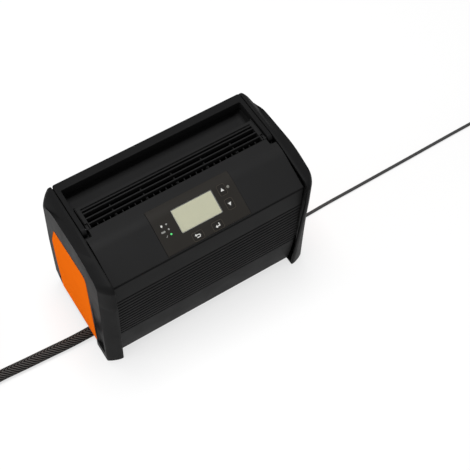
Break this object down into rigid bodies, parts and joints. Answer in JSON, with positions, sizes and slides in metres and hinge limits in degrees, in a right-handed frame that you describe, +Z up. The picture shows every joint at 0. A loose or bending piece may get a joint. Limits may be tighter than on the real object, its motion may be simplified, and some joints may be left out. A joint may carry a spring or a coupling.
{
  "type": "automatic battery charger",
  "caption": "Workshop battery charger with ribbed front, sloped display panel with push keys, top vent, fold-down carry handle, coloured side plates and coiled leads.",
  "frame": {"origin": "on the floor under the middle of the charger's own bounding box, its leads left out", "axes": "+X along the length towards the mains lead's end, +Y from the ribbed front to the back, +Z up"},
  "size_m": [1.1295, 0.2759, 0.239],
  "materials": {
    "black_plastic": "fine texture",
    "black_grille_plastic": "satin",
    "orange_plastic": "satin",
    "overlay_film": "satin film",
    "clear_window": "clear",
    "display_grey": "smooth",
    "circuit_board": "smooth",
    "key_rubber": "matte",
    "indicator_lens": "smooth",
    "green_indicator_lens": "smooth",
    "screw_steel": "bright",
    "aluminium": "extruded",
    "ferrite": "matte",
    "winding": "enamelled wire",
    "capacitor_sleeve": "smooth",
    "cable_rubber": "matte",
    "braided_sleeve": "woven",
    "cord_rubber": "matte"
  },
  "bodies": {
    "charger": {"top_shell": "black_plastic", "front_panel": "black_plastic", "rear_cover": "black_plastic", "base_plate": "black_plastic", "end_frame_left": "black_plastic", "end_frame_right": "black_plastic", "end_cap_left": "black_plastic", "end_cap_right": "black_plastic", "side_plate_left": "orange_plastic", "side_plate_right": "orange_plastic", "vent_grille": "black_grille_plastic", "control_overlay": "overlay_film", "display_window": "clear_window", "lcd_module": "display_grey", "display_board": "circuit_board", "indicator_power": "indicator_lens", "indicator_charging": "indicator_lens", "indicator_ready": "green_indicator_lens", "indicator_mode": "indicator_lens", "main_board": "circuit_board", "transformer_core": "ferrite", "transformer_winding": "winding", "output_choke": "winding", "terminal_block": "overlay_film", "heat_sink_left": "aluminium", "heat_sink_right": "aluminium", "capacitor_1": "capacitor_sleeve", "capacitor_2": "capacitor_sleeve", "fan_frame": "black_grille_plastic", "cap_screw_left_1": "screw_steel", "cap_screw_left_2": "screw_steel", "cap_screw_left_3": "screw_steel", "cap_screw_right_1": "screw_steel", "cap_screw_right_2": "screw_steel", "cap_screw_right_3": "screw_steel", "rear_screw_1": "screw_steel", "rear_screw_2": "screw_steel", "rear_screw_3": "screw_steel", "rear_screw_4": "screw_steel", "battery_relief": "cable_rubber", "mains_relief": "cable_rubber", "battery_cable": "braided_sleeve", "battery_cable_coil": "braided_sleeve", "battery_connector": "overlay_film", "mains_cord": "cord_rubber", "mains_cord_coil": "cord_rubber", "mains_plug": "cable_rubber", "mains_plug_pin_1": "screw_steel", "mains_plug_pin_2": "screw_steel"},
    "handle": {"carry_handle": "black_plastic", "handle_pin_left": "screw_steel", "handle_pin_right": "screw_steel"},
    "up_key": {"key_up": "key_rubber"},
    "down_key": {"key_down": "key_rubber"},
    "back_key": {"key_back": "key_rubber"},
    "enter_key": {"key_enter": "key_rubber"},
    "fan": {"fan_rotor": "black_grille_plastic"}
  },
  "joints": [
    {"name": "handle_pivot", "type": "hinge", "parent": "charger", "child": "handle", "pos_m": [0, 0.002, 0.23225], "axis": [1, 0, 0], "range_deg": [0, 90]},
    {"name": "key_up_press", "type": "slide", "parent": "charger", "child": "up_key", "axis": [0, 0.3907, -0.9205], "range_m": [0, 0.0005], "stiffness_N_per_m": 300},
    {"name": "key_down_press", "type": "slide", "parent": "charger", "child": "down_key", "axis": [0, 0.3907, -0.9205], "range_m": [0, 0.0005], "stiffness_N_per_m": 300},
    {"name": "key_back_press", "type": "slide", "parent": "charger", "child": "back_key", "axis": [0, 0.3907, -0.9205], "range_m": [0, 0.0005], "stiffness_N_per_m": 300},
    {"name": "key_enter_press", "type": "slide", "parent": "charger", "child": "enter_key", "axis": [0, 0.3907, -0.9205], "range_m": [0, 0.0005], "stiffness_N_per_m": 300},
    {"name": "fan_spin", "type": "hinge", "parent": "charger", "child": "fan", "pos_m": [-0.06, 0.0693, 0.1], "axis": [0, 1, 0], "continuous": true}
  ]
}
